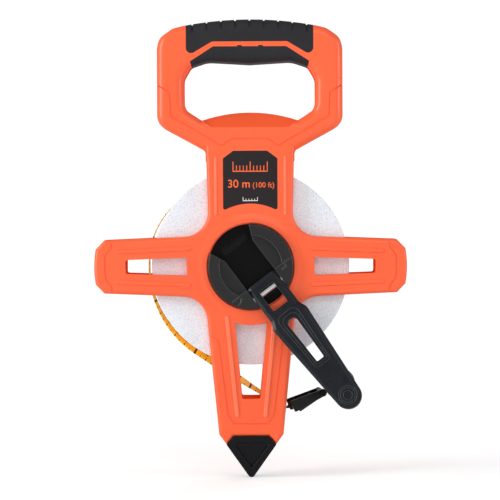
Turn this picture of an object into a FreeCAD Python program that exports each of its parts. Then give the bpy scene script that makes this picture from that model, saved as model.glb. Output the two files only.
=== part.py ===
import FreeCAD, Part
import math
import os

# Surveyor's open-reel tape: 30 m of 13 mm fibreglass tape on a spool that turns in a two-shell
# frame with a D handle, two finger arms and a ground spike.
#
# Millimetres. +Z is up, the crank is on the -Y side and y = 0 is the plane where the two shells
# meet. Every piece is drawn about the reel's axis, and save() lifts it by AXIS_HEIGHT, so that
# the origin is the tip of the ground spike.

AXIS_HEIGHT = 162.5

# Depths, measured from the middle plane towards the crank.
SHELL_FACE = 17.5
REEL_GAP = 9.4
SHELL_SKIN = 2.7
RING_HEIGHT = 0.9
HUB_FACE = 23.0
DISH_FLOOR = 17.6
CHANNEL_FLOOR = 9.4
FLANGE_INSIDE = 7.0
FLANGE_OUTSIDE = 8.6

# Tape and spool.
TAPE_WIDTH = 13.0
TAPE_THICKNESS = 0.4
TAPE_LENGTH = 30000.0
FLANGE_RADIUS = 75.4
CORE_RADIUS = 39.8
SPIGOT_RADIUS = 30.0
PACK_RADIUS = math.sqrt(CORE_RADIUS**2 + TAPE_LENGTH * TAPE_THICKNESS / math.pi)
CAVITY_RADIUS = 79.5

# Hub and its bearing in the shells. The bearing clearance is a running fit, and the front bore
# is relieved so that the crank's stub clears it while the crank folds.
BORE_RADIUS = 32.4
BEARING_CLEARANCE = 0.08
HUB_RADIUS = BORE_RADIUS - BEARING_CLEARANCE
FOLD_RELIEF_RADIUS = 33.5
FOLD_RELIEF_DEPTH = 12.5
RING_TOP_RADIUS = 36.6
RING_FOOT_RADIUS = 40.4

# Crank. The arm is drawn along +X with its crank side towards -Y, then tilted and turned.
CRANK_ANGLE = 52.9
REST_TILT = 16.0
PIN_DISTANCE = 22.0
PIN_DEPTH = 20.0
PIN_RADIUS = 2.4
PIN_CLEARANCE = 0.05
ARM_THICKNESS = 7.0
ARM_BEVEL = (1.2, 2.6)
STUB_LENGTH = 9.4
CHANNEL_HALF_WIDTH = 13.4
END_DISTANCE = 102.0
KNOB_DISTANCE = 87.6
KNOB_LENGTH = 19.0
SPINDLE_RADIUS = 3.0

# Handle.
EDGE_ROUND = 3.0
HANDLE_ROUND = 6.5
RUBBER = 2.4

# The free end of the tape: it lies just outside the flanges, leaves the reel on a tangent
# and is parked with its clip beside the lower arm.
TAIL_RADIUS = 77.7
TAIL_START = 128.0
TAIL_SETTLED = 165.0
TAIL_LEAVES = 236.9
TAIL_STRAIGHT = 78.5
TAIL_LEAN = 20.0
TAIL_BEND_RADIUS = 7.0
CLIP_PITCH = 22.9
CLIP_YAW = 12.0
CLIP_PIVOT = (53.7, 5.0, -97.9)
CLIP_LENGTH = 26.0

VIA = "via"
ORIGIN = FreeCAD.Vector(0, 0, 0)
Y_AXIS = FreeCAD.Vector(0, 1, 0)
Z_AXIS = FreeCAD.Vector(0, 0, 1)


# ---------------------------------------------------------------- drawing

def vector(item):
    """The point of an outline item: (x, z), (x, z, radius) or (VIA, x, z)."""
    x, z = item[1:3] if item[0] == VIA else item[:2]
    return FreeCAD.Vector(x, 0, z)


def rounded(before, corner, after):
    """Start, middle and end of the arc that rounds a corner; the corner itself if it is sharp."""
    point = vector(corner)
    if len(corner) < 3:
        return point, point, point
    towards = (vector(before) - point).normalize()
    onwards = (vector(after) - point).normalize()
    half = towards.getAngle(onwards) / 2
    reach = corner[2] / math.tan(half)
    inwards = (towards + onwards).normalize()
    middle = point + inwards * (corner[2] / math.sin(half) - corner[2])
    return point + towards * reach, middle, point + onwards * reach


def outline(items):
    """Closed wire in the plane y = 0. A VIA item bends the side between its neighbours."""
    corners = []
    bends = {}
    for item in items:
        if item[0] == VIA:
            bends[len(corners) - 1] = item
        else:
            corners.append(item)
    if -1 in bends:
        bends[len(corners) - 1] = bends.pop(-1)
    arcs = [
        rounded(corners[i - 1], corner, corners[(i + 1) % len(corners)])
        for i, corner in enumerate(corners)
    ]
    edges = []
    for i, (start, middle, end) in enumerate(arcs):
        if start != end:
            edges.append(Part.Arc(start, middle, end).toShape())
        following = arcs[(i + 1) % len(arcs)][0]
        if i in bends:
            edges.append(Part.Arc(end, vector(bends[i]), following).toShape())
        elif end.distanceToPoint(following) > 1e-6:
            edges.append(Part.makeLine(end, following))
    return Part.Wire(edges)


def mirrored(right):
    """The right half of an outline with its mirror image; points on the axis are not doubled."""
    left = []
    for item in reversed(right):
        if item[0] == VIA:
            if item[1] != 0:
                left.append((VIA, -item[1], item[2]))
        elif item[0] != 0:
            left.append((-item[0],) + tuple(item[1:]))
    return right + left


def prism(items, y_low, y_high):
    """An outline pushed out along Y."""
    face = Part.Face(outline(items))
    face.translate(FreeCAD.Vector(0, y_low, 0))
    return face.extrude(FreeCAD.Vector(0, y_high - y_low, 0))


def disc(radius, y_low, y_high, x=0.0, z=0.0):
    return Part.makeCylinder(radius, y_high - y_low, FreeCAD.Vector(x, y_low, z), Y_AXIS)


def cone(radius_low, radius_high, y_low, y_high, x=0.0, z=0.0):
    return Part.makeCone(radius_low, radius_high, y_high - y_low, FreeCAD.Vector(x, y_low, z), Y_AXIS)


def block(x_range, y_range, z_range):
    size = [high - low for low, high in (x_range, y_range, z_range)]
    return Part.makeBox(*size, FreeCAD.Vector(x_range[0], y_range[0], z_range[0]))


def capsule(start, end, radius, y_low, y_high):
    """A bar with round ends between two (x, z) points."""
    along = FreeCAD.Vector(end[0] - start[0], 0, end[1] - start[1])
    bar = Part.makeBox(along.Length, y_high - y_low, 2 * radius, FreeCAD.Vector(0, y_low, -radius))
    bar.rotate(ORIGIN, Y_AXIS, -math.degrees(math.atan2(along.z, along.x)))
    bar.translate(FreeCAD.Vector(start[0], 0, start[1]))
    caps = [disc(radius, y_low, y_high, *point) for point in (start, end)]
    return bar.fuse(caps)


def path_bar(points, width, y_low, y_high):
    """Capsules from point to point: the tool for a groove, or the shape of a raised stroke."""
    bars = [capsule(a, b, width / 2, y_low, y_high) for a, b in zip(points, points[1:])]
    return bars[0].fuse(bars[1:]) if len(bars) > 1 else bars[0]


def flipped(points):
    return [(-x, z) for x, z in points]


def revolved(profile, axis_start, axis):
    """A solid of revolution; the profile's points are (radius, distance along the axis)."""
    points = [FreeCAD.Vector(radius, 0, height) for radius, height in profile]
    face = Part.Face(Part.makePolygon(points + points[:1]))
    solid = face.revolve(ORIGIN, Z_AXIS, 360)
    solid.Placement = FreeCAD.Placement(axis_start, FreeCAD.Rotation(Z_AXIS, axis))
    return solid


def edges_in_plane(shape, y):
    return [e for e in shape.Edges if all(abs(v.Y - y) < 1e-4 for v in e.Vertexes)]


def round_front(solid, y, radius):
    """Rounds every edge that lies in the plane at y."""
    return solid.makeFillet(radius, edges_in_plane(solid, y))


def carved(shape, tools):
    """Cuts the tools away one after another, which keeps each cut simple."""
    for tool in tools:
        shape = shape.cut(tool)
    return shape


def to_rear(shape):
    """The mirror image of a piece in the middle plane."""
    return shape.mirror(ORIGIN, Y_AXIS)


# ---------------------------------------------------------------- frame shells

GROOVE_WIDTH = 0.9
GROOVE_DEPTH = 0.55
GROOVE_CORNER = 62.7
HANDLE_SIDE = 70.7
HANDLE_TOP = 188.0
CROWN_RADIUS = 272.3
NECK_HALF_WIDTH = 33.8


def crown(x, drop=0.0):
    """Height of the handle's arched top, or of an arch that much below it."""
    return HANDLE_TOP - drop - CROWN_RADIUS + math.sqrt(CROWN_RADIUS**2 - x**2)


HANDLE_OUTER = mirrored([
    (VIA, 0, HANDLE_TOP), (51.5, crown(51.5)), (58.5, 181.4, 12), (68.9, 174.1, 11),
    (HANDLE_SIDE, 166.0, 12), (HANDLE_SIDE, 108.2, 12), (31.0, 86.5),
])
HANDLE_OPENING = mirrored([
    (0, 154.4), (32.0, 156.3, 20), (44.6, 152.1, 6), (50.1, 142.6, 10), (50.1, 120.0, 10),
    (36.8, 111.3, 2), (VIA, 0, 117.5),
])
BODY = mirrored([
    (0, 97.0), (NECK_HALF_WIDTH, 97.0), (31.8, 23.5, 19), (111.5, 20.2), (118.0, 13.4),
    (VIA, 119.2, 0), (118.0, -13.4), (111.5, -20.2), (34.9, -23.5, 19), (24.6, -128.2),
    (18.9, -136.0), (13.5, -129.5),
])
NECK_CORNER = [
    (31, 80), (NECK_HALF_WIDTH, 80), (NECK_HALF_WIDTH, 88.0, 5), (40.0, 91.4), (40, 95), (31, 95),
]
SIDE_WINDOW = [(48.5, 6.9, 1), (95.3, 5.3, 1.5), (95.3, -5.3, 1.5), (48.5, -6.9, 1)]
LOWER_WINDOW = mirrored([(VIA, 0, -44.6), (12.2, -42.8), (7.0, -101.0, 1.5)])
LABEL = mirrored([
    (0, 88.0), (12.9, 88.0), (20.7, 82.2), (20.7, 42.6, 1.5), (15.5, 44.9), (VIA, 0, 47.9),
])
LABEL_DEPTH = 0.7

UPPER_GRIP = mirrored([(VIA, 0, 190.4), (48.4, 188.4), (48.4, 159.2, 4), (28.5, 170.9, 3)])
LOWER_GRIP = mirrored([
    (0, 167.2), (27.8, 167.2, 3), (45.3, 156.0, 1), (43.8, 150.4, 1), (0, 150.4),
])
GRIP_GROOVES = 9
GRIP_GROOVE_PITCH = 10.9
GRIP_GROOVE = 0.8
GRIP_GROOVE_WIDTH = 1.3
RIDGE_ROUND = 0.65
GRIP_BUMPS = (-7.7, 8.3)

SCREW_PLACES = [
    (-57.0, 170.5), (57.0, 170.5), (-59.5, 112.5), (59.5, 112.5), (0.0, 99.5),
    (-106.5, 0.0), (106.5, 0.0), (0.0, -106.5), (0.0, -121.0),
]
SCREW_HEAD_RADIUS = 3.2
SCREW_RADIUS = 1.5
SCREW_SEAT = 12.0


def line_point(distance, offset=0.0):
    """A point on the tape's straight run, and offset from it towards the reel."""
    angle = math.radians(TAIL_LEAVES)
    leave = (TAIL_RADIUS * math.cos(angle), TAIL_RADIUS * math.sin(angle))
    along = (-math.sin(angle), math.cos(angle))
    inward = (-math.cos(angle), -math.sin(angle))
    return tuple(leave[k] + distance * along[k] + offset * inward[k] for k in (0, 1))


def handle_ring():
    """The D of the handle, front half, with its hand opening."""
    solid = prism(HANDLE_OUTER, -SHELL_FACE, 0).cut(prism(HANDLE_OPENING, -SHELL_FACE, 0))
    solid = round_front(solid, -SHELL_FACE, HANDLE_ROUND)
    scoop = Part.Face(Part.makePolygon([
        FreeCAD.Vector(0, -SHELL_FACE - 1, 105.0), FreeCAD.Vector(0, -SHELL_FACE - 1, 130.0),
        FreeCAD.Vector(0, -2.5, 130.0), FreeCAD.Vector(0, -2.5, 117.6),
        FreeCAD.Vector(0, -SHELL_FACE - 1, 105.0),
    ])).extrude(FreeCAD.Vector(70, 0, 0))
    scoop.translate(FreeCAD.Vector(-35, 0, 0))
    return solid.cut(scoop.common(prism(mirrored([(36.5, 130), (36.5, 111.0), (27.5, 104.8)]), -20, 0)))


def edge_cut(x):
    """Depth at which the handle's rounded outer edge lies below the face, at x."""
    inside = HANDLE_ROUND - max(0.0, HANDLE_ROUND - (HANDLE_SIDE - abs(x)))
    return HANDLE_ROUND - math.sqrt(HANDLE_ROUND**2 - (HANDLE_ROUND - inside) ** 2)


def grooves():
    """Moulded lines on the outer face: round the handle's foot, the arm ends and the lower arm."""
    handle = [(GROOVE_CORNER, 133.5), (60.7, 132.2), (60.1, 114.5), (21.4, 91.7), (14.0, 97.1)]
    arm = [(105.7, 20.5), (105.7, 15.0), (110.7, 8.6), (110.7, 0.0)]
    lower = [(33, -51.7), (24.6, -55.8), (17.6, -112.6), (12.8, -119.9)]
    lines = [handle + flipped(handle)[::-1], lower + flipped(lower)[::-1]]
    arm_end = arm + [(x, -z) for x, z in arm[-2::-1]]
    lines += [arm_end, flipped(arm_end)]
    bed = -SHELL_FACE + GROOVE_DEPTH
    tools = [path_bar(line, GROOVE_WIDTH, -SHELL_FACE - 1, bed) for line in lines]
    steps = [GROOVE_CORNER, 65.2, 67.4, 68.7, 69.7, 71.5]
    for near, far in zip(steps, steps[1:]):
        depth = bed + edge_cut(min(far, HANDLE_SIDE - 0.3))
        for side in (-1, 1):
            ends = [(side * x, 133.5 + 0.6 * (x - GROOVE_CORNER)) for x in (near, far)]
            tools.append(capsule(*ends, GROOVE_WIDTH / 2, -SHELL_FACE - 1, depth))
    tools += [disc(0.5, -30, 1, side * (HANDLE_SIDE + 0.1), 138.5) for side in (-1, 1)]
    return tools


def raised_ridges():
    """Low ridges that stiffen the arms, beside each window."""
    tops = []
    for side in (-1, 1):
        tops.append(path_bar([(side * 18.3, -38.5), (side * 10.8, -113.5)], 3.2, -SHELL_FACE - 0.9, -14))
        for level in (-1, 1):
            ridge = [(side * 47.0, level * 13.8), (side * 100.0, level * 11.6)]
            tops.append(path_bar(ridge, 3.4, -SHELL_FACE - 0.7, -14))
        tops.append(path_bar([(side * 26.4, 83.0), (side * 26.4, 40.0)], 2.2, -SHELL_FACE - 0.7, -14))
    return [round_front(top.removeSplitter(), top.BoundBox.YMin, RIDGE_ROUND) for top in tops]


def pockets():
    """Hollows behind the outer skin, as a moulded shell has them."""
    right = [
        ([(51.8, 164), (67.0, 164), (67.0, 118), (51.8, 124)], HANDLE_ROUND + 1),
        ([(2, 161.5), (43, 161.5), (43, 176), (2, 179)], HANDLE_ROUND + 1),
        ([(2, 47), (29.4, 47), (29.4, 90), (2, 94)], SHELL_SKIN),
        ([(46, 10.2), (97, 8.2), (97, 17.0), (46, 19.0)], SHELL_SKIN),
        ([(46, -10.2), (46, -19.0), (97, -17.0), (97, -8.2)], SHELL_SKIN),
        ([(99.5, 5.5), (113, 5.5), (113, 12), (108.5, 16.6), (99.5, 16.6)], SHELL_SKIN),
        ([(99.5, -5.5), (99.5, -16.6), (108.5, -16.6), (113, -12), (113, -5.5)], SHELL_SKIN),
        ([(14.4, -50), (28.6, -50), (24.0, -98), (10.2, -98)], SHELL_SKIN),
    ]
    tools = []
    for corners, skin in right:
        for side in (-1, 1):
            soft = [(side * x, z, 1.5) for x, z in corners]
            tools.append(prism(soft, -SHELL_FACE + skin, 1))
    return tools


def shell_half():
    """The half that both shells share: outer face towards -Y, open towards the reel."""
    body = round_front(prism(BODY, -SHELL_FACE, 0), -SHELL_FACE, EDGE_ROUND)
    ring = cone(RING_TOP_RADIUS, RING_FOOT_RADIUS, -SHELL_FACE - RING_HEIGHT, -SHELL_FACE + 0.01)
    corners = [prism(side, -SHELL_FACE + EDGE_ROUND, 0) for side in (
        NECK_CORNER, [(-x, *rest) for x, *rest in NECK_CORNER],
    )]
    half = body.fuse([handle_ring(), ring] + corners).removeSplitter()
    windows = [prism(SIDE_WINDOW, -30, 1), prism([(-x, *rest) for x, *rest in SIDE_WINDOW], -30, 1)]
    windows.append(prism(LOWER_WINDOW, -30, 1))
    half = half.cut(grooves()).fuse(raised_ridges())
    half = half.cut(windows + [disc(BORE_RADIUS, -30, 1)]).cut(pockets())
    lane = [line_point(q, side) for q, side in ((-14, 4.2), (96, 4.2), (96, -4.2), (-14, -4.2))]
    half = half.cut([disc(CAVITY_RADIUS, -REEL_GAP, 1), prism(lane, -REEL_GAP, 1)])
    return half.cut(spike_tang(0.0)).removeSplitter()


def grip_inner():
    """The part of the handle bar that lies under the rubber."""
    form = mirrored([
        (VIA, 0, HANDLE_TOP - RUBBER), (60.0, crown(60.0, RUBBER)), (60.0, 158.2), (0, 158.2),
    ])
    inner = prism(form, -SHELL_FACE + RUBBER, 0)
    front = [e for e in edges_in_plane(inner, -SHELL_FACE + RUBBER) if e.Length > 60]
    return inner.makeChamfer(2.8, front)


def grip_groove_tools():
    """Nine short cuts across the top of the upper grip and over its rounded edge."""
    tools = []
    bed = HANDLE_ROUND - GRIP_GROOVE
    for i in range(GRIP_GROOVES):
        x = (i - (GRIP_GROOVES - 1) / 2) * GRIP_GROOVE_PITCH
        top = crown(x)
        turns = [math.radians(180 - 22.5 * k) for k in range(5)]
        bottom = [
            (-SHELL_FACE + HANDLE_ROUND + bed * math.cos(t), top - HANDLE_ROUND + bed * math.sin(t))
            for t in turns
        ]
        front = -SHELL_FACE - 1
        profile = [(1, bottom[-1][1]), (1, top + 2), (front, top + 2), (front, bottom[0][1])]
        profile += bottom
        points = [FreeCAD.Vector(x - GRIP_GROOVE_WIDTH / 2, y, z) for y, z in profile + profile[:1]]
        face = Part.Face(Part.makePolygon(points))
        tools.append(face.extrude(FreeCAD.Vector(GRIP_GROOVE_WIDTH, 0, 0)))
    return tools


def frame_parts():
    """Both shells with the rubber grips moulded onto them, and the label plate."""
    half = shell_half()
    bar = grip_inner()
    upper = prism(UPPER_GRIP, -30, 1)
    bumps = [
        prism([(x - 2.6, 166), (x - 1.5, 168.1), (x + 1.5, 168.1), (x + 2.6, 166)], -30, 1)
        for x in GRIP_BUMPS
    ]
    lower = prism(LOWER_GRIP, -30, 1).fuse(bumps).removeSplitter()
    upper_grip = carved(half.common(upper), grip_groove_tools() + [bar])
    lower_grip = half.common(lower).cut(bar)
    half = carved(half, [upper.cut(bar), lower.cut(bar)])
    plate = prism(LABEL, -SHELL_FACE - 0.1, -SHELL_FACE + LABEL_DEPTH)
    pilots = [disc(SCREW_RADIUS, -11, 1, *place) for place in SCREW_PLACES]
    passages = [
        disc(radius, low, high, *place)
        for place in SCREW_PLACES
        for radius, low, high in (
            (SCREW_RADIUS + 0.1, -1, SCREW_SEAT),
            (SCREW_HEAD_RADIUS + 0.4, SCREW_SEAT, 30),
        )
    ]
    relief = disc(FOLD_RELIEF_RADIUS, -30, -FOLD_RELIEF_DEPTH)
    front = carved(half, [prism(LABEL, -30, -SHELL_FACE + LABEL_DEPTH), relief] + pilots)
    return {
        "front_shell": front,
        "rear_shell": carved(to_rear(half), passages),
        "front_upper_grip": upper_grip,
        "rear_upper_grip": to_rear(upper_grip),
        "front_lower_grip": lower_grip,
        "rear_lower_grip": to_rear(lower_grip),
        "label_plate": plate,
    }


def shell_screws():
    """Nine pan-head screws from the rear, as one group."""
    screws = []
    for x, z in SCREW_PLACES:
        head = disc(SCREW_HEAD_RADIUS, SCREW_SEAT, SCREW_SEAT + 2.4, x, z)
        head = head.makeFillet(1.0, edges_in_plane(head, SCREW_SEAT + 2.4)[:1])
        shank = disc(SCREW_RADIUS, -11, SCREW_SEAT, x, z)
        slots = [
            block((x - a, x + a), (SCREW_SEAT + 1.2, 30), (z - b, z + b))
            for a, b in ((0.45, 2), (2, 0.45))
        ]
        screws.append(head.fuse(shank).cut(slots))
    return Part.makeCompound(screws)


# ---------------------------------------------------------------- ground spike

SPIKE = mirrored([(13.5, -129.5), (18.9, -136.0), (0, -164.71, 2.7)])


def spike_tang(clearance):
    return prism(
        mirrored([(10 + clearance, -114 + clearance), (10 + clearance, -130)]),
        -6 - clearance, 6 + clearance,
    )


def wedge(half_top, half_tip):
    """A block that thins towards the tip of the spike."""
    profile = [
        (-half_top, -120), (half_top, -120), (half_top, -137), (half_tip, -166),
        (-half_tip, -166), (-half_top, -137),
    ]
    face = Part.Face(Part.makePolygon([FreeCAD.Vector(0, y, z) for y, z in profile + profile[:1]]))
    solid = face.extrude(FreeCAD.Vector(60, 0, 0))
    solid.translate(FreeCAD.Vector(-30, 0, 0))
    return solid


def ground_spike():
    """A black wedge with a sunk triangle on both faces and a tang between the shells."""
    solid = prism(SPIKE, -20, 20).common(wedge(SHELL_FACE, 2.4))
    triangle = mirrored([(0, -133.7), (11.8, -133.7, 1), (13.3, -136.4, 1), (0, -155.6, 1.5)])
    sunk = prism(triangle, -20, 20).cut(wedge(SHELL_FACE - 1.6, 0.8))
    hole = disc(SCREW_RADIUS + 0.1, -10, 10, *SCREW_PLACES[-1])
    return solid.cut(sunk).fuse(spike_tang(0.0)).removeSplitter().cut(hole)


# ---------------------------------------------------------------- reel

HUB_SCREWS = [(-11.0, 20.5), (11.0, 20.5), (-11.0, -20.5), (11.0, -20.5)]


def on_reel(shape):
    """Turns a piece drawn along +X to the crank's direction."""
    shape.rotate(ORIGIN, Y_AXIS, CRANK_ANGLE)
    return shape


def channel(y_low, y_high):
    """The slot across the hub that takes the crank arm; its far end flares."""
    half = CHANNEL_HALF_WIDTH
    return prism([(40, half), (-14.5, half), (-27.0, 18.6), (-40.0, 23.1),
                  (-40.0, -23.1), (-27.0, -18.6), (-14.5, -half), (40, -half)], y_low, y_high)


def crank_hub():
    """Front hub: journal in the shell, dished cheeks and the channel for the folded arm."""
    head = disc(HUB_RADIUS, -HUB_FACE, -FLANGE_OUTSIDE)
    head = head.makeFillet(1.2, edges_in_plane(head, -HUB_FACE)[:1])
    solid = head.fuse(disc(SPIGOT_RADIUS, -FLANGE_OUTSIDE, 0))
    dish = disc(23.9, -30, -DISH_FLOOR).cut(block((12.5, 30), (-40, 0), (-30, 30)))
    hollow = disc(SPIGOT_RADIUS - 3, -5.4, 1).cut([disc(4.2, -6, 1, *place) for place in HUB_SCREWS])
    sweep = prism([(17.5, 13.7), (26.0, 13.7), (26.0, -13.7), (17.5, -13.7)], -CHANNEL_FLOOR - 1, -8.6)
    solid = solid.cut([dish, channel(-30, -CHANNEL_FLOOR), sweep, hollow])
    rib = path_bar([(-20.6, -9.4), (-20.6, 9.4)], 5.3, -CHANNEL_FLOOR - 1.6, -CHANNEL_FLOOR + 0.5)
    rib = round_front(rib.removeSplitter(), -CHANNEL_FLOOR - 1.6, 0.8)
    marks = [
        path_bar([(12.9, 27.2), (12.9, 22.2), (16.0, 21.4), (16.0, 18.0)], 0.9, -HUB_FACE - 0.35, -22),
        path_bar([(13.2, -21.4), (13.2, -27.2)], 0.9, -HUB_FACE - 0.35, -22),
        path_bar([(15.4, -20.4), (17.6, -22.6), (17.6, -25.0)], 0.9, -HUB_FACE - 0.35, -22),
    ]
    pin = Part.makeCylinder(PIN_RADIUS, 44, FreeCAD.Vector(PIN_DISTANCE, -PIN_DEPTH, -22), Z_AXIS)
    pilots = [disc(SCREW_RADIUS, -9, 1, *place) for place in HUB_SCREWS]
    return on_reel(solid.fuse([rib] + marks).cut([pin] + pilots).removeSplitter())


def hinge_pin():
    """Steel pin through both cheeks; it ends just under the journal's surface."""
    half = math.sqrt(HUB_RADIUS**2 - (PIN_DISTANCE + PIN_RADIUS) ** 2) - 1.0
    start = FreeCAD.Vector(PIN_DISTANCE, -PIN_DEPTH, -half)
    return on_reel(Part.makeCylinder(PIN_RADIUS, 2 * half, start, Z_AXIS))


def rear_hub():
    """Rear hub: the other journal, screwed to the front hub through the core."""
    face = SHELL_FACE + 0.4
    head = disc(HUB_RADIUS, FLANGE_OUTSIDE, face)
    head = head.makeFillet(1.2, edges_in_plane(head, face)[:1])
    dish = cone(24.0, 26.0, face - 3.0, face + 0.01).cut(disc(9.0, 0, 30))
    solid = head.fuse(disc(SPIGOT_RADIUS, 0, FLANGE_OUTSIDE)).cut(dish)
    hollow = disc(SPIGOT_RADIUS - 3, -1, 5.4).cut([disc(4.2, -2, 6, *place) for place in HUB_SCREWS])
    holes = [
        disc(radius, low, 40, *place)
        for place in HUB_SCREWS
        for radius, low in ((SCREW_RADIUS + 0.1, -1), (SCREW_HEAD_RADIUS + 0.3, 11.0))
    ]
    return on_reel(solid.cut([hollow] + holes).removeSplitter())


def hub_screws():
    """Four screws that clamp the two hubs, the flanges and the core together."""
    screws = []
    for place in HUB_SCREWS:
        head = disc(SCREW_HEAD_RADIUS, 11.0, 13.2, *place)
        head = head.makeFillet(0.8, edges_in_plane(head, 13.2)[:1])
        screws.append(head.fuse(disc(SCREW_RADIUS, -8.6, 11.0, *place)))
    return on_reel(Part.makeCompound(screws))


def flange():
    """Front flange disc, with a thicker rim bead on its outer face."""
    plate = disc(FLANGE_RADIUS, -FLANGE_OUTSIDE, -FLANGE_INSIDE)
    rim = [e for e in edges_in_plane(plate, -FLANGE_OUTSIDE) if e.Length > 1]
    return plate.makeFillet(0.7, rim).cut(disc(SPIGOT_RADIUS, -20, 0))


def spool_core():
    """The drum between the flanges, with the notch that holds the tape's inner end."""
    ring = disc(CORE_RADIUS, -FLANGE_INSIDE, FLANGE_INSIDE)
    lightening = [
        disc(2.6, -FLANGE_INSIDE - 1, FLANGE_INSIDE + 1, 34.9 * math.cos(a), 34.9 * math.sin(a))
        for a in [math.radians(15 + 30 * k) for k in range(12)]
    ]
    notch = block((34.0, 41), (-TAPE_WIDTH / 2, TAPE_WIDTH / 2), (-2.2, 2.2))
    return on_reel(ring.cut([disc(SPIGOT_RADIUS, -20, 20), notch] + lightening))


def tape_anchor():
    """The wedge that pins the tape's inner end in the drum's notch."""
    wedge_block = block((34.0, CORE_RADIUS - 0.3), (-TAPE_WIDTH / 2, TAPE_WIDTH / 2), (-2.2, 2.2))
    bore = disc(1.0, -10, 10, 36.5, 0)
    return on_reel(wedge_block.cut(bore))


def tape_pack():
    """The wound tape: 30 m fills the ring between the drum and the pack's radius."""
    half = TAPE_WIDTH / 2
    return disc(PACK_RADIUS, -half, half).cut(disc(CORE_RADIUS, -20, 20))


# ---------------------------------------------------------------- crank

def on_crank(shape):
    """Moves a piece from the arm's own frame, with the hinge at its origin, to its rest place."""
    shape.rotate(ORIGIN, Z_AXIS, -REST_TILT)
    shape.translate(FreeCAD.Vector(PIN_DISTANCE, -PIN_DEPTH, 0))
    return on_reel(shape)


def crank_arm():
    """Cranked bar with a hinge window, a stepped slot and a bevelled rim."""
    half = ARM_THICKNESS / 2
    side = [
        (-STUB_LENGTH, 13.1, 3.2), (22.4, 13.1, 3), (28.8, 15.7, 4), (END_DISTANCE + 0.77, 10.17),
    ]
    form = side + [(VIA, END_DISTANCE + 10.2, 0)] + [(x, -z, *r) for x, z, *r in reversed(side)]
    solid = prism(form, -half, half)
    solid = solid.makeChamfer(1.5, edges_in_plane(solid, half))
    solid = solid.makeChamfer(*ARM_BEVEL, edges_in_plane(solid, -half))
    window = prism([(-1.7, 6.7, 1), (17.0, 6.7, 1), (17.0, -6.7, 1), (-1.7, -6.7, 1)], -9, 9)
    slot = prism([(28.9, 4.1, 3.5), (67.4, 3.2, 1), (67.4, -3.2, 1), (28.9, -4.1, 3.5)], -9, 9)
    outer = [(22.8, 9.2, 5), (71.6, 6.4, 2), (71.6, -6.4, 2), (22.8, -9.2, 5)]
    inner = [(25.6, 6.9, 5), (69.5, 4.9, 1.5), (69.5, -4.9, 1.5), (25.6, -6.9, 5)]
    steps = [prism(outer, -9, -half + 0.9), prism(inner, -9, -half + 1.9)]
    back = [(24.4, 9.0, 4), (72.0, 7.6, 3), (72.0, -7.6, 3), (24.4, -9.0, 4)]
    steps.append(prism(back, half - 1.6, 9))
    pin = Part.makeCylinder(PIN_RADIUS + PIN_CLEARANCE, 40, FreeCAD.Vector(0, 0, -20), Z_AXIS)
    ring = disc(6.9, -9, -half + 0.5, END_DISTANCE).cut(disc(5.6, -9, 9, END_DISTANCE))
    dimple = disc(3.4, -9, -half + 1.1, END_DISTANCE)
    thread = disc(2.5, -half + 1.0, 9, KNOB_DISTANCE)
    return on_crank(solid.cut([window, slot, pin, ring, dimple, thread] + steps).removeSplitter())


def knob_spindle():
    """Shoulder screw: threaded into the arm, smooth through the knob, head in the knob's end."""
    half = ARM_THICKNESS / 2
    end = half + KNOB_LENGTH
    profile = [
        (0, -half + 1.1), (2.5, -half + 1.1), (2.5, half), (SPINDLE_RADIUS, half),
        (SPINDLE_RADIUS, end - 3.4), (5.4, end - 3.4), (5.4, end - 1.6), (0, end - 1.6),
    ]
    solid = revolved(profile, FreeCAD.Vector(KNOB_DISTANCE, 0, 0), Y_AXIS)
    socket = disc(1.8, end - 3.0, end, KNOB_DISTANCE)
    return on_crank(solid.cut(socket))


def knob_washer():
    half = ARM_THICKNESS / 2
    ring = disc(7.0, half, half + 0.5, KNOB_DISTANCE)
    return on_crank(ring.cut(disc(SPINDLE_RADIUS, 0, 9, KNOB_DISTANCE)))


def crank_knob():
    """Turned knob with a waist near the arm and a crowned end."""
    start = ARM_THICKNESS / 2 + 0.8
    end = ARM_THICKNESS / 2 + KNOB_LENGTH
    bore = SPINDLE_RADIUS + 0.05
    outer = [
        (8.6, start), (9.6, start + 0.8), (9.9, start + 4.0), (11.0, start + 9.0),
        (11.8, start + 12.5), (11.6, start + 15.2), (10.2, start + 17.4), (8.4, end),
    ]
    profile = [(bore, start)] + outer + [(5.8, end), (5.8, end - 3.7), (bore, end - 3.7)]
    return on_crank(revolved(profile, FreeCAD.Vector(KNOB_DISTANCE, 0, 0), Y_AXIS))


# ---------------------------------------------------------------- tape end

def on_clip(shape):
    """Moves a piece from the clip's frame, with the claw's pivot at its origin, to its place."""
    shape.rotate(ORIGIN, Y_AXIS, -CLIP_PITCH)
    shape.rotate(ORIGIN, Z_AXIS, CLIP_YAW)
    shape.translate(FreeCAD.Vector(*CLIP_PIVOT))
    return shape


def clip_point(x, y, z):
    point = Part.Vertex(x, y, z)
    return on_clip(point).Point


def tail_twist(distance):
    """How far the tape leans, by distance past the place where it leaves the reel."""
    middle = 24.0
    spread = 67.0 if distance < middle else 36.0
    return math.radians(TAIL_LEAN) * math.exp(-(((distance - middle) / spread) ** 2))


def tail_section(centre, along, across):
    """Rectangle of the tape's section, square to its direction."""
    normal = along.cross(across).normalize() * (TAPE_THICKNESS / 2)
    wide = across.normalize() * (TAPE_WIDTH / 2)
    near = [centre - wide - normal, centre + wide - normal]
    far = [centre + wide + normal, centre - wide + normal]
    return Part.makePolygon(near + far + near[:1])


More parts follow.
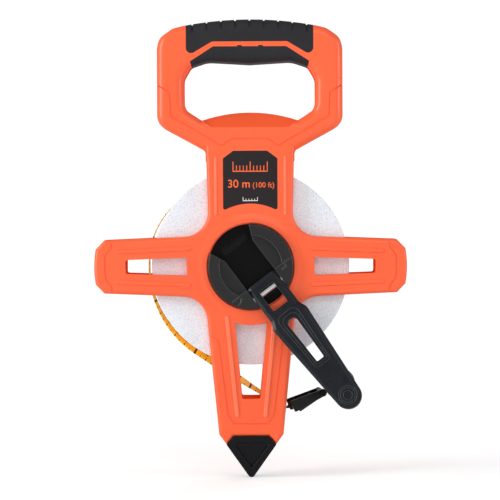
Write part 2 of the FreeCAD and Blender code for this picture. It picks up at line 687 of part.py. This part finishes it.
def tape_tail():
    """The tape's last turn, its straight run through the lower arm, and its end in the clip."""
    sections = []
    low = PACK_RADIUS + 0.6
    angle = TAIL_START
    while angle < TAIL_LEAVES - 1:
        ease = min(1.0, (angle - TAIL_START) / (TAIL_SETTLED - TAIL_START))
        radius = low + (TAIL_RADIUS - low) * (3 * ease**2 - 2 * ease**3)
        turn = math.radians(angle)
        outward = FreeCAD.Vector(math.cos(turn), 0, math.sin(turn))
        along = FreeCAD.Vector(-math.sin(turn), 0, math.cos(turn))
        lean = tail_twist(math.radians(angle - TAIL_LEAVES) * TAIL_RADIUS)
        across = FreeCAD.Vector(Y_AXIS) * math.cos(lean) - outward * math.sin(lean)
        sections.append(tail_section(outward * radius, along, across))
        angle += (TAIL_LEAVES - TAIL_START) / 22
    turn = math.radians(TAIL_LEAVES)
    along = FreeCAD.Vector(-math.sin(turn), 0, math.cos(turn))
    inward = FreeCAD.Vector(-math.cos(turn), 0, -math.sin(turn))
    runs = 14
    for i in range(runs + 1):
        distance = TAIL_STRAIGHT * i / runs
        x, z = line_point(distance)
        lean = tail_twist(distance)
        across = FreeCAD.Vector(Y_AXIS) * math.cos(lean) + inward * math.sin(lean)
        sections.append(tail_section(FreeCAD.Vector(x, 0, z), along, across))
    x, z = line_point(TAIL_STRAIGHT, TAIL_BEND_RADIUS)
    clip_across = clip_point(0, 1, 0) - clip_point(0, 0, 0)
    clip_along = clip_point(1, 0, 0) - clip_point(0, 0, 0)
    start = TAIL_LEAVES - 270.0
    steps = 5
    for i in range(1, steps):
        heading = math.radians(start + (CLIP_PITCH - start) * i / steps)
        centre = FreeCAD.Vector(
            x + TAIL_BEND_RADIUS * math.sin(heading), 0, z - TAIL_BEND_RADIUS * math.cos(heading)
        )
        along = FreeCAD.Vector(math.cos(heading), 0, math.sin(heading))
        across = FreeCAD.Vector(Y_AXIS) * (1 - i / steps) + clip_across * (i / steps)
        sections.append(tail_section(centre, along, across))
    for reach in (CLIP_LENGTH - 0.5, 13.0):
        centre = clip_point(-reach, 0, 0.6)
        sections.append(tail_section(centre, clip_along, FreeCAD.Vector(clip_across)))
    return Part.makeLoft(sections, True, True).cut(on_clip(Part.makeCompound(clip_rivet_holes())))


def clip_body():
    """Folded channel: two tapering cheeks joined by a web over the tape."""
    form = [(-CLIP_LENGTH, 4.7, 1), (-1.0, 2.8), (VIA, 2.95, 0), (-1.0, -2.8), (-CLIP_LENGTH, -4.7, 1)]
    cheeks = [prism(form, -8.2, -7.0), prism(form, 7.0, 8.2)]
    web = block((-CLIP_LENGTH + 0.6, -7.0), (-7.0, 7.0), (0.8, 2.0))
    solid = cheeks[0].fuse([cheeks[1], web]).removeSplitter()
    return on_clip(solid.cut([disc(1.3, -20, 20)] + clip_rivet_holes()))


CLIP_RIVETS = [(-22.0, -3.5), (-22.0, 3.5), (-16.0, 0.0)]


def clip_rivet_holes():
    return [Part.makeCylinder(0.9, 20, FreeCAD.Vector(x, y, -10), Z_AXIS) for x, y in CLIP_RIVETS]


def clamp_plate():
    """Plate that grips the tape's end against the web."""
    plate = block((-CLIP_LENGTH + 1.4, -12.0), (-6.4, 6.4), (-0.6, 0.4))
    return on_clip(plate.cut(clip_rivet_holes()))


def clip_rivets():
    rivets = []
    for x, y in CLIP_RIVETS:
        shank = Part.makeCylinder(0.9, 2.6, FreeCAD.Vector(x, y, -0.6), Z_AXIS)
        heads = [Part.makeCylinder(1.6, 0.5, FreeCAD.Vector(x, y, z), Z_AXIS) for z in (-1.1, 2.0)]
        rivets.append(shank.fuse(heads))
    return on_clip(Part.makeCompound(rivets))


def end_claw():
    """Folding hook: an eye round the pivot and a bar that lies under the clip, tip turned up."""
    eye = disc(2.6, -5.2, 5.2)
    bar = prism([(0.6, -2.6), (-1.6, -1.6), (-20.4, -4.4), (-21.2, -3.2), (-22.2, -3.4), (-21.4, -6.4)],
                -5.2, 5.2)
    nail = Part.makeCylinder(1.6, 20, FreeCAD.Vector(-13.5, 0, -10), Z_AXIS)
    return on_clip(eye.fuse(bar).removeSplitter().cut([disc(1.25, -20, 20), nail]))


def claw_pin():
    """Rivet through both cheeks, with a flat head on each side."""
    heads = [disc(2.3, -9.0, -8.2), disc(2.3, 8.2, 9.0)]
    return on_clip(disc(1.2, -8.6, 8.6).fuse(heads).removeSplitter())


# ---------------------------------------------------------------- the set of pieces

def save(name, shape):
    shape.translate(FreeCAD.Vector(0, 0, AXIS_HEIGHT))
    shape.exportStep(os.path.join("parts", name + ".step"))
    box = shape.BoundBox
    size = "%7.2f %7.2f %7.2f" % (box.XLength, box.YLength, box.ZLength)
    solids = len(shape.Solids)
    print("%-18s %2d solid %9.1f mm3 %s %s" % (name, solids, shape.Volume, size, shape.isValid()))


def main():
    os.makedirs("parts", exist_ok=True)
    pieces = frame_parts()
    front_flange = flange()
    pieces.update({
        "shell_screws": shell_screws(),
        "ground_spike": ground_spike(),
        "crank_hub": crank_hub(),
        "hinge_pin": hinge_pin(),
        "rear_hub": rear_hub(),
        "hub_screws": hub_screws(),
        "front_flange": front_flange,
        "rear_flange": to_rear(front_flange),
        "spool_core": spool_core(),
        "tape_anchor": tape_anchor(),
        "tape_pack": tape_pack(),
        "crank_arm": crank_arm(),
        "knob_spindle": knob_spindle(),
        "knob_washer": knob_washer(),
        "crank_knob": crank_knob(),
        "tape_tail": tape_tail(),
        "clip_body": clip_body(),
        "clamp_plate": clamp_plate(),
        "clip_rivets": clip_rivets(),
        "end_claw": end_claw(),
        "claw_pin": claw_pin(),
    })
    for name, shape in pieces.items():
        save(name, shape)


main()
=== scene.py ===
"""Surveyor's tape reel on its ground spike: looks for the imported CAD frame."""

import math

import bmesh
import bpy
from mathutils import Matrix, Vector


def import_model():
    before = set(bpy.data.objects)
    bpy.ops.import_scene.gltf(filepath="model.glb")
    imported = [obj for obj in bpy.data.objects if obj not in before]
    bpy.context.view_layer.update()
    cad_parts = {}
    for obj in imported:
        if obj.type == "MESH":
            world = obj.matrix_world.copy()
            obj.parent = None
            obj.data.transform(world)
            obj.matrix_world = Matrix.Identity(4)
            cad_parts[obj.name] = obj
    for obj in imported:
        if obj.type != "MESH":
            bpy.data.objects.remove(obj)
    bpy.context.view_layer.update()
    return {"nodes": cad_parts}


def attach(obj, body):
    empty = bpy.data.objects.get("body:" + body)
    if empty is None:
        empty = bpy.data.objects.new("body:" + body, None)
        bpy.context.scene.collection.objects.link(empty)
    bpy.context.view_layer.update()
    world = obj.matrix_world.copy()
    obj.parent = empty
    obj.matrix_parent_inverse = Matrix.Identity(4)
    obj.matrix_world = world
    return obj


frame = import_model()
nodes = frame["nodes"]

# Lengths are in metres and angles in degrees.
AXIS_Z = 0.1625          # height of the spool's axis
SHELL_FACE = 0.0175      # half the frame's depth, without its ridges
RIDGE_TOP = 0.0006       # a ridge's height where its painted highlight is palest
RING_FOOT = 0.0405       # radius outside which ridges get a painted highlight
NECK_HALF = 0.040        # and half the width of the neck and lower arm that they lie on
HUB_RIM = 0.0160         # the hub's painted shade starts this far in front of the shells' joint
HUB_CHANNEL = 0.0100     # and is darkest this far, down in the crank's channel
EDGE_RADIUS = 0.0006     # sharp edges look rounded by this much
TAPE_HALF_WIDTH = 0.0065
TAPE_THICKNESS = 0.0004
WOUND_RADIUS = 0.0735    # outside of the wound tape
LAST_TURN_RADIUS = 0.0777
TAPE_LEAVES = 236.9      # angle round the axis where the free end starts
SLEEVE_START = 0.020     # x beyond which the free end is black
# painted light: strength of the tape's weak glow, which brightens it where it lies in shade
TAPE_PAINTED_GLOW = 0.18


# ---------------------------------------------------------------- node helpers

class Nodes:
    """A material's node tree, with short calls for the nodes used here."""

    def __init__(self, name, **shader):
        self.material = bpy.data.materials.new(name)
        self.material.use_nodes = True
        self.tree = self.material.node_tree
        self.bsdf = self.tree.nodes["Principled BSDF"]
        for key, value in shader.items():
            self.bsdf.inputs[key.replace("_", " ")].default_value = value
        self.place = self.node("ShaderNodeTexCoord").outputs["Object"]

    def node(self, kind, inputs=None, **fields):
        made = self.tree.nodes.new(kind)
        for key, value in fields.items():
            setattr(made, key, value)
        for key, value in (inputs or {}).items():
            self.put(value, made.inputs[key])
        return made

    def put(self, value, socket):
        if hasattr(value, "is_output"):
            self.tree.links.new(value, socket)
        else:
            socket.default_value = value

    def noise(self, scale, detail=3.0, rough=0.55, place=None):
        made = self.node("ShaderNodeTexNoise", {
            "Vector": place or self.place, "Scale": scale, "Detail": detail, "Roughness": rough,
        })
        return made.outputs["Fac"]

    def cells(self, scale):
        made = self.node("ShaderNodeTexVoronoi", {"Vector": self.place, "Scale": scale})
        return made.outputs["Distance"]

    def spread(self, value, low, high, to_low=0.0, to_high=1.0):
        made = self.node("ShaderNodeMapRange", {
            "Value": value, "From Min": low, "From Max": high, "To Min": to_low, "To Max": to_high,
        })
        return made.outputs["Result"]

    def math(self, operation, first, second=0.0):
        made = self.node("ShaderNodeMath", {0: first, 1: second}, operation=operation)
        return made.outputs[0]

    def mix(self, fac, first, second):
        made = self.node("ShaderNodeMix", data_type="RGBA")
        self.put(fac, made.inputs["Factor"])
        self.put(first, made.inputs["A"])
        self.put(second, made.inputs["B"])
        return made.outputs["Result"]

    def split(self, vector):
        return self.node("ShaderNodeSeparateXYZ", {"Vector": vector}).outputs

    def beside_axis(self):
        """The place as x, y and height above the spool's axis."""
        x, y, z = self.split(self.place)
        return x, y, self.math("SUBTRACT", z, AXIS_Z)

    def radius(self, x, up):
        """Distance from the spool's axis."""
        squares = [self.math("MULTIPLY", side, side) for side in (x, up)]
        return self.math("SQRT", self.math("ADD", *squares))

    def colour(self, value):
        self.put(value, self.bsdf.inputs["Base Color"])

    def roughness(self, value):
        self.put(value, self.bsdf.inputs["Roughness"])

    def edges(self, radius):
        """Rounds sharp edges by a radius, and gives how near each place is to one, from 0 to 1."""
        rounded = self.node("ShaderNodeBevel", {"Radius": radius}, samples=8).outputs["Normal"]
        self.put(rounded, self.bsdf.inputs["Normal"])
        plain = self.node("ShaderNodeNewGeometry").outputs["Normal"]
        same = self.node("ShaderNodeVectorMath", {0: rounded, 1: plain}, operation="DOT_PRODUCT")
        return self.spread(same.outputs["Value"], 0.98, 0.75)

    def bump(self, height, strength, distance):
        made = self.node("ShaderNodeBump", {"Height": height, "Strength": strength, "Distance": distance})
        last = self.bsdf.inputs["Normal"]
        if last.is_linked:
            self.tree.links.new(last.links[0].from_socket, made.inputs["Normal"])
        self.tree.links.new(made.outputs["Normal"], last)


def rgba(r, g, b):
    return (r, g, b, 1.0)


# ---------------------------------------------------------------- materials

def moulded(name, dark, light, rough, grain=2600.0, depth=0.00003, strength=0.25, painted_highlight=None, **shader):
    """Moulded plastic: slow colour drift, a fine grain, uneven gloss and, if given, a painted highlight
    along sharp edges.
    """
    m = Nodes(name, **shader)
    drift = m.spread(m.noise(28.0, 4.0), 0.35, 0.65)
    face = m.mix(drift, dark, light)
    # Painted highlight: near sharp edges the colour is mixed towards a paler one.
    if painted_highlight:
        face = m.mix(m.edges(EDGE_RADIUS), face, painted_highlight)
    m.colour(face)
    fine = m.noise(grain, 2.0, 0.6)
    m.roughness(m.spread(m.noise(190.0, 3.0), 0.3, 0.7, rough - 0.05, rough + 0.05))
    m.bump(fine, strength, depth)
    return m.material


def shell_plastic():
    """Orange moulding: satin faces, a painted highlight on the ridge tops of the neck and lower arm, and
    matt side walls.
    """
    m = Nodes("orange_shell")
    drift = m.spread(m.noise(9.0, 3.0), 0.35, 0.65)
    face = m.mix(drift, rgba(0.95, 0.114, 0.031), rgba(0.98, 0.123, 0.035))
    x, y, up = m.beside_axis()
    off_ring = m.math("GREATER_THAN", m.radius(x, up), RING_FOOT)
    upright = m.math("LESS_THAN", m.math("ABSOLUTE", x), NECK_HALF)
    painted_highlight = m.math("MULTIPLY", off_ring, upright)
    raised = m.spread(m.math("ABSOLUTE", y), SHELL_FACE + 0.0001, SHELL_FACE + RIDGE_TOP)
    # Painted highlight: the tops of the ridges on the neck and lower arm are painted a paler orange.
    m.colour(m.mix(m.math("MULTIPLY", raised, painted_highlight), face, rgba(1.0, 0.185, 0.080)))
    facing = m.node("ShaderNodeTexCoord").outputs["Normal"]
    outward = m.math("ABSOLUTE", m.split(facing)[1])
    m.put(m.spread(outward, 0.1, 0.4, 0.0, 0.5), m.bsdf.inputs["Specular IOR Level"])
    m.roughness(m.spread(m.noise(60.0, 2.0), 0.3, 0.7, 0.33, 0.37))
    m.bump(m.noise(2600.0, 2.0, 0.6), 0.12, 0.00002)
    return m.material


def hub_plastic():
    """Black moulding with a painted highlight along its edges, and painted shade that darkens it down in
    the crank's channel, where it is also less glossy.
    """
    m = Nodes("hub_plastic")
    depth_shade = m.spread(m.split(m.place)[1], -HUB_RIM, -HUB_CHANNEL)
    grain = m.noise(2200.0, 2.0, 0.6)
    face = m.mix(grain, rgba(0.008, 0.008, 0.009), rgba(0.013, 0.013, 0.014))
    # Painted shade: the hub darkens with depth towards the floor of the crank's channel.
    face = m.mix(depth_shade, face, rgba(0.003, 0.003, 0.003))
    # Painted highlight: near sharp edges the colour is mixed towards pale grey.
    m.colour(m.mix(m.edges(EDGE_RADIUS), face, rgba(0.120, 0.120, 0.124)))
    m.put(m.spread(depth_shade, 0.0, 1.0, 0.42, 0.12), m.bsdf.inputs["Specular IOR Level"])
    m.roughness(m.spread(m.noise(190.0, 3.0), 0.3, 0.7, 0.30, 0.38))
    m.bump(grain, 0.35, 0.00004)
    return m.material


def speckled():
    """Frosted polypropylene with a fine leather grain."""
    m = Nodes("frosted_spool", Specular_IOR_Level=0.3)
    pits = m.spread(m.cells(850.0), 0.12, 0.60)
    grey = m.mix(pits, rgba(0.52, 0.57, 0.63), rgba(0.77, 0.82, 0.87))
    cloud = m.spread(m.noise(1100.0, 3.0, 0.7), 0.42, 0.60)
    m.colour(m.mix(cloud, grey, rgba(0.80, 0.86, 0.91)))
    m.roughness(m.spread(m.noise(500.0), 0.3, 0.7, 0.5, 0.66))
    m.bump(m.cells(850.0), 0.4, 0.00006)
    return m.material


def steel(name, colour):
    """Turned and plated metal with fine scratches."""
    m = Nodes(name, Metallic=1.0)
    stretched = m.node("ShaderNodeMapping", {"Vector": m.place, "Scale": (1.0, 14.0, 1.0)}).outputs[0]
    lines = m.noise(420.0, 4.0, 0.7, stretched)
    m.colour(m.mix(m.spread(lines, 0.35, 0.65), rgba(*[0.8 * c for c in colour]), rgba(*colour)))
    m.roughness(m.spread(lines, 0.3, 0.7, 0.22, 0.36))
    m.bump(lines, 0.2, 0.00002)
    return m.material


orange = shell_plastic()
rubber = moulded(
    "grip_rubber", rgba(0.018, 0.018, 0.021), rgba(0.023, 0.023, 0.027), 0.62, 1800.0, 0.00005, 0.5,
    Specular_IOR_Level=0.2,
)
black_hub = hub_plastic()
# painted highlight along the spike's sharp edges
black_spike = moulded(
    "spike_plastic", rgba(0.004, 0.004, 0.006), rgba(0.006, 0.006, 0.008), 0.34,
    painted_highlight=rgba(0.030, 0.030, 0.032), Specular_IOR_Level=0.18,
)
# painted highlight along the crank's sharp edges
crank_paint = moulded(
    "crank_coat", rgba(0.004, 0.006, 0.009), rgba(0.008, 0.010, 0.014), 0.30, 2000.0, 0.00005, 0.5,
    painted_highlight=rgba(0.120, 0.130, 0.142), Specular_IOR_Level=0.28,
)
knob_gloss = moulded(
    "knob_gloss", rgba(0.010, 0.010, 0.011), rgba(0.014, 0.014, 0.015), 0.16, 900.0, 0.00001, 0.1,
)
label_black = moulded(
    "label_black", rgba(0.019, 0.015, 0.016), rgba(0.023, 0.019, 0.020), 0.55, 1500.0, 0.00001, 0.2,
    Specular_IOR_Level=0.15,
)
print_orange = moulded(
    "print_orange", rgba(0.88, 0.140, 0.045), rgba(0.92, 0.155, 0.052), 0.5, 1500.0, 0.00001, 0.2,
    Specular_IOR_Level=0.2,
)
print_white = moulded(
    "print_white", rgba(0.80, 0.79, 0.79), rgba(0.86, 0.85, 0.85), 0.5, 1500.0, 0.00001, 0.2,
    Specular_IOR_Level=0.2,
)
# painted highlight along the clip's sharp edges
clip_enamel = moulded(
    "clip_enamel", rgba(0.004, 0.004, 0.004), rgba(0.007, 0.007, 0.007), 0.25, 900.0, 0.00003, 0.3,
    painted_highlight=rgba(0.110, 0.102, 0.090), Specular_IOR_Level=0.3,
)
drum_grey = moulded("drum_grey", rgba(0.45, 0.45, 0.46), rgba(0.55, 0.55, 0.56), 0.5)
spool = speckled()
zinc = steel("zinc", (0.90, 0.90, 0.88))
dull_brass = steel("dull_brass", (0.42, 0.37, 0.31))


# pitch, width and length of each kind of tick on the tape
TICKS = [
    (0.001, 0.0002, 0.0014),
    (0.005, 0.0006, 0.0030),
    (0.010, 0.0008, 0.0048),
    (0.050, 0.0016, 0.0065),
]


def tape_paint(m, along, across, sleeve=0.0):
    """Bright yellow tape with black ticks every 1, 5, 10 and 50 mm, each longer than the last; a weak
    painted glow in the same colours brightens it where it lies in shade.
    """
    yellow = m.mix(m.spread(m.noise(60.0), 0.35, 0.65), rgba(1.0, 0.56, 0.035), rgba(1.0, 0.66, 0.06))
    weave = m.noise(3000.0, 2.0)
    m.bump(weave, 0.3, 0.00003)

    def ticks(pitch, width, reach):
        phase = m.math("ABSOLUTE", m.math("SUBTRACT", m.math("FRACT", m.math("DIVIDE", along, pitch)), 0.5))
        line = m.math("GREATER_THAN", phase, 0.5 - 0.5 * width / pitch)
        edge = m.math("GREATER_THAN", m.math("ABSOLUTE", across), TAPE_HALF_WIDTH - reach)
        return m.math("MULTIPLY", line, edge)

    marks = 0.0
    for pitch, width, reach in TICKS:
        marks = m.math("MAXIMUM", marks, ticks(pitch, width, reach))
    ink = m.mix(marks, yellow, rgba(0.02, 0.016, 0.012))
    ink = m.mix(sleeve, ink, rgba(0.006, 0.006, 0.006))
    m.colour(ink)
    # Painted light: the tape glows weakly in its own colours, so that it stays bright where it lies in
    # shade.
    m.put(ink, m.bsdf.inputs["Emission Color"])
    m.put(TAPE_PAINTED_GLOW, m.bsdf.inputs["Emission Strength"])
    m.roughness(m.spread(weave, 0.3, 0.7, 0.36, 0.48))


def free_tape():
    """The last turn and the free end, with a black sleeve before the clip.

    The scale is laid out by distance along the tape from the place where it leaves the reel."""
    m = Nodes("tape_free", Specular_IOR_Level=0.3)
    x, y, up = m.beside_axis()
    leaves = math.radians(TAPE_LEAVES)
    ahead = m.math("MULTIPLY", x, -math.sin(leaves))
    straight = m.math("ADD", ahead, m.math("MULTIPLY", up, math.cos(leaves)))
    turn = m.math("ARCTAN2", up, x)
    turn = m.math("ADD", turn, m.math("MULTIPLY", m.math("LESS_THAN", turn, 0.0), 2 * math.pi))
    curved = m.math("MULTIPLY", m.math("SUBTRACT", turn, leaves), LAST_TURN_RADIUS)
    on_line = m.math("GREATER_THAN", straight, 0.0)
    on_turn = m.math("SUBTRACT", 1.0, on_line)
    along = m.math("ADD", m.math("MULTIPLY", straight, on_line), m.math("MULTIPLY", curved, on_turn))
    tape_paint(m, along, y, m.math("GREATER_THAN", x, SLEEVE_START))
    return m.material


def wound_tape():
    """The pack: print round its rim, and the edges of the turns on its sides."""
    m = Nodes("tape_wound")
    x, y, up = m.beside_axis()
    turn = m.math("ARCTAN2", up, x)
    tape_paint(m, m.math("MULTIPLY", turn, WOUND_RADIUS), y)
    layers = m.math("SINE", m.math("MULTIPLY", m.radius(x, up), 2 * math.pi / TAPE_THICKNESS))
    m.bump(layers, 0.6, 0.0001)
    return m.material


def claw_rivet():
    """The claw's pin: its front head is blackened, the rest is bare."""
    m = Nodes("claw_rivet", Metallic=1.0)
    bare = m.spread(m.split(m.place)[1], -0.001, 0.001)
    m.colour(m.mix(bare, rgba(0.020, 0.020, 0.021), rgba(0.60, 0.52, 0.45)))
    scratches = m.noise(1400.0, 4.0, 0.7)
    m.roughness(m.spread(scratches, 0.3, 0.7, 0.28, 0.42))
    m.bump(scratches, 0.3, 0.00002)
    return m.material


tape_flat = free_tape()
tape_round = wound_tape()
pin_finish = claw_rivet()

finish_of = {
    orange: ["front_shell", "rear_shell"],
    rubber: ["front_upper_grip", "rear_upper_grip", "front_lower_grip", "rear_lower_grip"],
    label_black: ["label_plate"],
    zinc: ["shell_screws", "hub_screws", "hinge_pin", "knob_spindle", "knob_washer"],
    black_spike: ["ground_spike"],
    black_hub: ["crank_hub", "rear_hub"],
    spool: ["front_flange", "rear_flange"],
    drum_grey: ["spool_core", "tape_anchor"],
    tape_round: ["tape_pack"],
    crank_paint: ["crank_arm"],
    knob_gloss: ["crank_knob"],
    tape_flat: ["tape_tail"],
    clip_enamel: ["clip_body", "clamp_plate", "end_claw"],
    dull_brass: ["clip_rivets"],
    pin_finish: ["claw_pin"],
}
for material, names in finish_of.items():
    for name in names:
        mesh = nodes[name].data
        mesh.materials.clear()
        mesh.materials.append(material)


# ---------------------------------------------------------------- print on the label

LABEL_FACE = -0.0176
PRINT_HEIGHT = 0.00012
PRINT_SUNK = 0.00002
LENGTH_BASE = 0.0601     # heights of the printed lines above the spool's axis
SCALE_BASE = 0.0720
FINE_SCALE_BASE = 0.0498


def words(name, body, left, right, base, material, weight):
    """Lettering between two places on the label; its size follows from its length."""
    data = bpy.data.curves.new(name, "FONT")
    data.body = body
    data.size = 1.0
    piece = bpy.data.objects.new(name, data)
    bpy.context.scene.collection.objects.link(piece)
    bpy.context.view_layer.update()
    start, end = piece.bound_box[0][0], piece.bound_box[6][0]
    data.size = (right - left) / (end - start)
    data.offset = weight
    data.extrude = PRINT_HEIGHT / 2
    place = (left - start * data.size, LABEL_FACE + PRINT_SUNK - PRINT_HEIGHT / 2, AXIS_Z + base)
    piece.matrix_world = Matrix.Translation(place) @ Matrix.Rotation(math.radians(90), 4, "X")
    data.materials.append(material)
    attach(piece, "frame")


def bars(name, boxes, material):
    """Printed bars; each is (left, right, low, high) on the label."""
    mesh = bpy.data.meshes.new(name)
    work = bmesh.new()
    back, front = LABEL_FACE + PRINT_SUNK, LABEL_FACE + PRINT_SUNK - PRINT_HEIGHT
    for left, right, low, high in boxes:
        size = (right - left, PRINT_HEIGHT, high - low)
        middle = ((left + right) / 2, (front + back) / 2, AXIS_Z + (low + high) / 2)
        bmesh.ops.create_cube(work, size=1.0, matrix=Matrix.LocRotScale(middle, None, size))
    work.to_mesh(mesh)
    work.free()
    piece = bpy.data.objects.new(name, mesh)
    bpy.context.scene.collection.objects.link(piece)
    mesh.materials.append(material)
    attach(piece, "frame")


def scale_mark(name, left, right, low, steps, heights, line, material):
    """A plain ruler: a base line with a tick at every step, taller at each fifth step."""
    boxes = [(left - line / 2, right + line / 2, low, low + 1.2 * line)]
    for k in range(steps + 1):
        x = left + (right - left) * k / steps
        tall = heights[0] if k % 5 == 0 else heights[1]
        boxes.append((x - line / 2, x + line / 2, low + 1.1 * line, low + tall))
    bars(name, boxes, material)


words("length_metres", "30 m", -0.0168, -0.0004, LENGTH_BASE, print_orange, 0.00010)
words("length_feet", "(100 ft)", 0.0019, 0.0182, LENGTH_BASE, print_orange, 0.00005)
scale_mark("label_scale", -0.0130, 0.0130, SCALE_BASE, 10, (0.0078, 0.0048), 0.0007, print_orange)
scale_mark("label_fine_scale", -0.0055, 0.0055, FINE_SCALE_BASE, 5, (0.0030, 0.0018), 0.0004, print_white)


# ---------------------------------------------------------------- stage

FLOOR_SIZE = 6.0
FLOOR_LIFT = 0.35            # light added near the object, so that the floor stays pale
FLOOR_FADE = (0.10, 0.45)    # it fades into the wall between these distances from the spike
WALL_LIGHT = 1.05
ROOM_LIGHT = 0.40
MIDDLE = (0.0, 0.0, 0.18)
EYE = (-0.0032, -1.6, AXIS_Z + 0.0529)
PAN, PITCH, ROLL = 0.101, 1.46, 0.28
FOCAL_LENGTH = 149.9         # this and the sensor are in millimetres
SENSOR_WIDTH = 36.0


def camera_sees(tree, seen, otherwise):
    """One shader for the camera's own rays and another for all others."""
    path = tree.nodes.new("ShaderNodeLightPath")
    pick = tree.nodes.new("ShaderNodeMixShader")
    tree.links.new(path.outputs["Is Camera Ray"], pick.inputs[0])
    tree.links.new(otherwise, pick.inputs[1])
    tree.links.new(seen, pick.inputs[2])
    return pick.outputs[0]


def floor_material():
    """Pale floor that looks as white as the wall behind it."""
    m = Nodes("studio_floor", Roughness=0.9)
    tone = m.spread(m.noise(3.0), 0.3, 0.7)
    m.colour(m.mix(tone, rgba(0.84, 0.84, 0.84), rgba(0.88, 0.88, 0.88)))
    lift = m.node("ShaderNodeEmission", {"Color": rgba(1.0, 1.0, 1.0), "Strength": FLOOR_LIFT})
    near = m.node("ShaderNodeAddShader", {0: m.bsdf.outputs[0], 1: lift.outputs[0]})
    wall = m.node("ShaderNodeEmission", {"Color": rgba(1.0, 1.0, 1.0), "Strength": WALL_LIGHT})
    away = m.node("ShaderNodeVectorMath", {0: m.place}, operation="LENGTH").outputs["Value"]
    fade = m.spread(away, *FLOOR_FADE)
    both = m.node("ShaderNodeMixShader", {0: fade, 1: near.outputs[0], 2: wall.outputs[0]})
    shown = camera_sees(m.tree, both.outputs[0], m.bsdf.outputs[0])
    m.tree.links.new(shown, m.tree.nodes["Material Output"].inputs["Surface"])
    return m.material


def floor():
    mesh = bpy.data.meshes.new("studio_floor")
    work = bmesh.new()
    bmesh.ops.create_grid(work, x_segments=2, y_segments=2, size=FLOOR_SIZE / 2)
    work.to_mesh(mesh)
    work.free()
    plane = bpy.data.objects.new("studio_floor", mesh)
    bpy.context.scene.collection.objects.link(plane)
    mesh.materials.append(floor_material())


def area(name, place, target, size, power, glossy=True):
    light = bpy.data.lights.new(name, "AREA")
    light.shape = "RECTANGLE"
    light.size, light.size_y = size
    light.energy = power
    lamp = bpy.data.objects.new(name, light)
    lamp.location = place
    lamp.visible_glossy = glossy
    lamp.rotation_euler = (Vector(target) - Vector(place)).to_track_quat("-Z", "Y").to_euler()
    bpy.context.scene.collection.objects.link(lamp)


def background(tree, strength):
    shade = tree.nodes.new("ShaderNodeBackground")
    shade.inputs["Color"].default_value = rgba(1.0, 1.0, 1.0)
    shade.inputs["Strength"].default_value = strength
    return shade.outputs[0]


def world():
    """A dim room that still shows as a white wall behind the object."""
    sky = bpy.data.worlds.new("studio_world")
    sky.use_nodes = True
    tree = sky.node_tree
    shown = camera_sees(tree, background(tree, WALL_LIGHT), background(tree, ROOM_LIGHT))
    tree.links.new(shown, tree.nodes["World Output"].inputs["Surface"])
    bpy.context.scene.world = sky


def camera():
    """Straight on, a little above the reel's axis and pitched down to centre it."""
    lens = bpy.data.cameras.new("photo_camera")
    lens.sensor_width = SENSOR_WIDTH
    lens.lens = FOCAL_LENGTH
    lens.clip_end = 20.0
    eye = bpy.data.objects.new("photo_camera", lens)
    pan = Matrix.Rotation(math.radians(-PAN), 4, "Z")
    pitch = Matrix.Rotation(math.radians(90 - PITCH), 4, "X")
    roll = Matrix.Rotation(math.radians(-ROLL), 4, "Z")
    eye.matrix_world = Matrix.Translation(EYE) @ pan @ pitch @ roll
    bpy.context.scene.collection.objects.link(eye)
    bpy.context.scene.camera = eye


floor()
world()
camera()
area("left_softbox", (-1.75, -0.75, 0.75), MIDDLE, (0.8, 1.6), 27.0)
area("right_softbox", (1.7, -0.7, 0.4), MIDDLE, (0.5, 1.4), 11.0)
area("front_softbox", (0.4, -1.9, 1.4), MIDDLE, (1.4, 0.9), 8.0)
area("rear_softbox", (0.9, 1.8, 1.0), MIDDLE, (1.2, 1.2), 9.0, glossy=False)
area("low_fill", (-0.3, -1.9, 0.22), (0.0, 0.0, 0.1), (1.6, 0.3), 5.0, glossy=False)
bpy.context.scene.view_settings.view_transform = "Standard"
